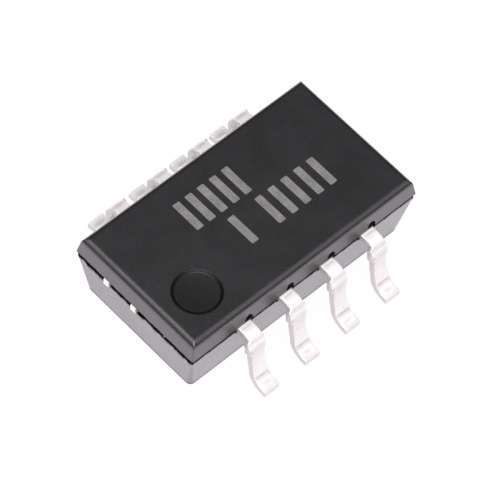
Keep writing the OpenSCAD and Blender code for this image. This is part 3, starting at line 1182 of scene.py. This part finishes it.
@dataclass
class Marking:
    """Plain laser-marked bars in two rows on the top, where such parts carry a marking."""

    body: MouldBody
    bar_w: float = 0.2
    bar_h: float = 0.86
    rise: float = 0.0015
    corner: float = 0.03
    rows: tuple[BarRow, ...] = (
        BarRow(0.77, -1.16, 5, 0.37),
        BarRow(-0.3, -0.46, 1, 0.4),
        BarRow(-0.3, 0.38, 5, 0.4),
    )

    def build(self) -> Object:
        """Builds all the bars.

        Returns:
            Their one mesh object.
        """
        bm = bmesh.new()
        for row in self.rows:
            for i in range(row.count):
                self._bar(bm, row.first_x + i * row.pitch, row.y, self.body.top_z)
        return mesh_object("marking_bars", bm, smooth=False)

    def _bar(self, bm: Mesh, x: float, y: float, z: float) -> None:
        """Adds one thin bar with rounded corners.

        Args:
            bm: The mesh of the bars.
            x: Place of its middle along the chip.
            y: Place of its middle across the chip.
            z: Level of the top.
        """
        half_w = self.bar_w / 2 - self.corner
        half_h = self.bar_h / 2 - self.corner
        outline = []
        for sx, sy, start in ((1, 1, 0), (-1, 1, 90), (-1, -1, 180), (1, -1, 270)):
            cx, cy = x + sx * half_w, y + sy * half_h
            for a in (radians(start + 22.5 * i) for i in range(5)):
                outline.append((cx + self.corner * cos(a), cy + self.corner * sin(a)))
        levels = (z - self.rise, z + self.rise)
        for ring in loft(bm, [[Vector((*p, level)) for p in outline] for level in levels]):
            bm.faces.new(ring)


# ---- Studio ----

@dataclass(frozen=True)
class Lamp:
    """A square soft lamp: its place and side in millimetres, and its power in watts."""

    name: str
    where: tuple[float, float, float]
    side: float
    power: float

    def light(self) -> None:
        """Adds the lamp, which looks at the chip."""
        data = bpy.data.lights.new(self.name, "AREA")
        data.shape = "SQUARE"
        data.size = self.side * MM
        data.energy = self.power
        place = Vector(self.where)
        lamp = bpy.data.objects.new(self.name, data)
        lamp.location = place * MM
        lamp.rotation_euler = (-place).to_track_quat("-Z", "Y").to_euler()
        bpy.context.scene.collection.objects.link(lamp)


@dataclass
class Studio:
    """Camera, white sheet, sky and lamps.

    The camera looks at the middle of the chip's foot. Each part of the sky has a strength
    for mirror light and one for diffuse light. The front is the side towards -X and -Y.
    """

    azimuth: float = -48.30
    elevation: float = 57.42
    roll: float = 6.55
    distance: float = 86.2
    lens: float = 268.62
    sensor: float = 36.0
    shift: Span = (0.0139, 0.02084)
    clip: Span = (0.001, 10.0)
    sheet_half: float = 600.0
    sheet_colour: Colour = (0.86, 0.86, 0.87)
    sheet_light: Span = (1.5, 0.05)
    sheet_bounce: float = 0.6
    sheet_tone: Colour = (1.0, 0.955, 1.01)
    sheet_reach: Span = (14.0, 40.0)
    sheet_glow_share: float = 0.96
    # Painted shadow under the body, in the sheet's glow.
    shade: Span = (3.05, 1.55)
    shade_light: float = 0.08
    shade_blur: float = 0.25
    front_sky: Span = (0.95, 1.4)
    back_sky: Span = (0.15, 0.9)
    front_edge: Span = (-0.45, 0.15)
    horizon: Span = (0.28, 0.62)
    horizon_light: float = 0.12
    lamps: tuple[Lamp, ...] = (
        Lamp("key_lamp", (-50, -28, 160), 140, 0.27),
        Lamp("fill_lamp", (-30, -120, 90), 80, 0.02),
    )

    def camera(self) -> None:
        """Adds the camera and makes it the scene's own."""
        a, e, r = (radians(v) for v in (self.azimuth, self.elevation, self.roll))
        forward = Vector((-sin(a) * cos(e), cos(a) * cos(e), -sin(e)))
        right = Vector((cos(a), sin(a), 0))
        up = right.cross(forward)
        cam_x = cos(r) * right + sin(r) * up
        cam_y = cos(r) * up - sin(r) * right
        data = bpy.data.cameras.new("camera")
        data.sensor_width = self.sensor
        data.lens = self.lens
        data.shift_x, data.shift_y = self.shift
        data.clip_start, data.clip_end = self.clip
        camera = bpy.data.objects.new("camera", data)
        matrix = Matrix((cam_x, cam_y, -forward)).transposed().to_4x4()
        matrix.translation = -forward * self.distance * MM
        camera.matrix_world = matrix
        bpy.context.scene.collection.objects.link(camera)
        bpy.context.scene.camera = camera

    def _sheet_glow(self, tree: Tree) -> Socket:
        """Adds the light that the sheet throws back.

        It fades away from the chip, and a painted shadow dims it under the body.

        Args:
            tree: The sheet material's tree.

        Returns:
            The light's strength.
        """
        place = add_node(tree, "NewGeometry", {}).outputs["Position"]
        reach = add_node(tree, "VectorMath", {0: place}, operation="LENGTH").outputs["Value"]
        span = tuple(v * MM for v in self.sheet_reach)
        fade = ranged(tree, reach, self.sheet_light, span, "SMOOTHSTEP")
        across = add_node(tree, "VectorMath", {0: place}, operation="ABSOLUTE").outputs["Vector"]
        half = (self.shade[0] * MM, self.shade[1] * MM, 0.0)
        past = add_node(tree, "VectorMath", {0: across, 1: half}, operation="SUBTRACT")
        split = add_node(tree, "SeparateXYZ", {0: past.outputs["Vector"]}).outputs
        edge = add_node(tree, "Math", {0: split["X"], 1: split["Y"]}, operation="MAXIMUM")
        blur = (0.0, self.shade_blur * MM)
        left = ranged(tree, edge.outputs[0], (self.shade_light, 1.0), blur)
        return add_node(tree, "Math", {0: fade, 1: left}, operation="MULTIPLY").outputs[0]

    def floor(self) -> None:
        """Adds the white sheet, which shows white to the camera and keeps a faint shadow."""
        bm = bmesh.new()
        bmesh.ops.create_grid(bm, x_segments=1, y_segments=1, size=self.sheet_half)
        floor = mesh_object("floor", bm, smooth=False)
        material = bpy.data.materials.new("white_sheet")
        material.use_nodes = True
        tree = material.node_tree
        shader = tree.nodes["Principled BSDF"]
        colour = (*self.sheet_colour, 1.0)
        feed(tree, shader, {"Base Color": colour, "Roughness": 0.8, "Specular IOR Level": 0.2})
        path = add_node(tree, "LightPath", {}).outputs
        camera = path["Is Camera Ray"]
        glow = mixed(tree, path["Is Diffuse Ray"], self._sheet_glow(tree), self.sheet_bounce)
        light = {
            "Color": mixed(tree, camera, (*self.sheet_tone, 1.0), WHITE, "RGBA"),
            "Strength": mixed(tree, camera, glow, 1.0),
        }
        shaders = {
            0: ranged(tree, camera, (1.0, self.sheet_glow_share)),
            1: shader.outputs["BSDF"],
            2: add_node(tree, "Emission", light).outputs[0],
        }
        mix = add_node(tree, "MixShader", shaders)
        feed(tree, tree.nodes["Material Output"], {"Surface": mix.outputs[0]})
        floor.data.materials.append(material)

    def _sky(self, tree: Tree, diffuse: Socket) -> Socket:
        """Adds the sky: bright over a dark horizon, and dimmer at the back.

        Args:
            tree: The world's tree.
            diffuse: Whether a ray is a diffuse one.

        Returns:
            The sky's shader.
        """
        way = add_node(tree, "TexCoord", {}).outputs["Generated"]
        height = add_node(tree, "SeparateXYZ", {0: way}).outputs["Z"]
        greys = [(level,) * 3 for level in (self.horizon_light, 1.0)]
        front = {0: way, 1: (-0.7071, -0.7071, 0.0)}
        side = add_node(tree, "VectorMath", front, operation="DOT_PRODUCT").outputs["Value"]
        levels = [ranged(tree, diffuse, sky) for sky in (self.back_sky, self.front_sky)]
        light = {
            "Color": ramped(tree, height, self.horizon, greys, "EASE"),
            "Strength": ranged(tree, side, levels, self.front_edge, "SMOOTHSTEP"),
        }
        return add_node(tree, "Background", light).outputs[0]

    def world(self) -> None:
        """Sets the sky, and white where the camera sees it."""
        world = bpy.data.worlds.new("studio")
        bpy.context.scene.world = world
        world.use_nodes = True
        tree = world.node_tree
        tree.nodes.clear()
        path = add_node(tree, "LightPath", {}).outputs
        shaders = {
            0: path["Is Camera Ray"],
            1: self._sky(tree, path["Is Diffuse Ray"]),
            2: add_node(tree, "Background", {"Color": WHITE}).outputs[0],
        }
        mix = add_node(tree, "MixShader", shaders)
        add_node(tree, "OutputWorld", {"Surface": mix.outputs[0]})

    def build(self) -> None:
        """Sets up the whole studio."""
        bpy.context.scene.view_settings.view_transform = "Standard"
        self.camera()
        self.floor()
        self.world()
        for lamp in self.lamps:
            lamp.light()


# ---- Assembly ----

INNER_FINISHES: dict[str, Finish] = {
    "die_paddle": Finishes.COPPER,
    "crystal_land_left": Finishes.COPPER,
    "crystal_land_right": Finishes.COPPER,
    "die_attach": Finishes.ADHESIVE,
    "silicon_die": Finishes.SILICON,
    "bond_wire": Finishes.GOLD,
    "solder_joint": Finishes.SOLDER,
    "crystal_base": Finishes.CERAMIC,
    "seal_ring": Finishes.SEAL,
    "crystal_lid": Finishes.LID,
    "quartz_fork": Finishes.QUARTZ,
    "fork_mount": Finishes.ADHESIVE,
}


def dress_inner_pieces(nodes: dict[str, Object], finishes: Finishes) -> None:
    """Gives every piece that keeps its own mesh its finish.

    Args:
        nodes: The frame's nodes by name.
        finishes: The chip's finishes.
    """
    for name, obj in nodes.items():
        for start, finish in INNER_FINISHES.items():
            if name.startswith(start):
                finishes.dress(obj, finish)
                LOG.info("dressed %s with %s", name, finish.name)


def main() -> None:
    """Builds the chip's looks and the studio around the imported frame."""
    logging.basicConfig(level=logging.INFO, format="%(name)s: %(message)s")
    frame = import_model()
    finishes = Finishes(ShaderGroups())
    body = MouldBody()
    shell = body.build()
    finishes.dress(shell, Finishes.COMPOUND)
    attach(shell, BODY)
    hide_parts("mould_body")
    LOG.info("built %s with %d faces", shell.name, len(shell.data.polygons))
    for number in range(1, 2 * LEADS_IN_ROW + 1):
        lead = Lead(number, body).build()
        finishes.dress(lead, Finishes.PLATING)
        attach(lead, BODY)
        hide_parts(f"lead_{number}")
        LOG.info("built %s with %d faces", lead.name, len(lead.data.polygons))
    bars = Marking(body).build()
    finishes.dress(bars, Finishes.MARK)
    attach(bars, BODY)
    LOG.info("built %s", bars.name)
    dress_inner_pieces(frame["nodes"], finishes)
    Studio().build()


if __name__ == "__main__":
    main()
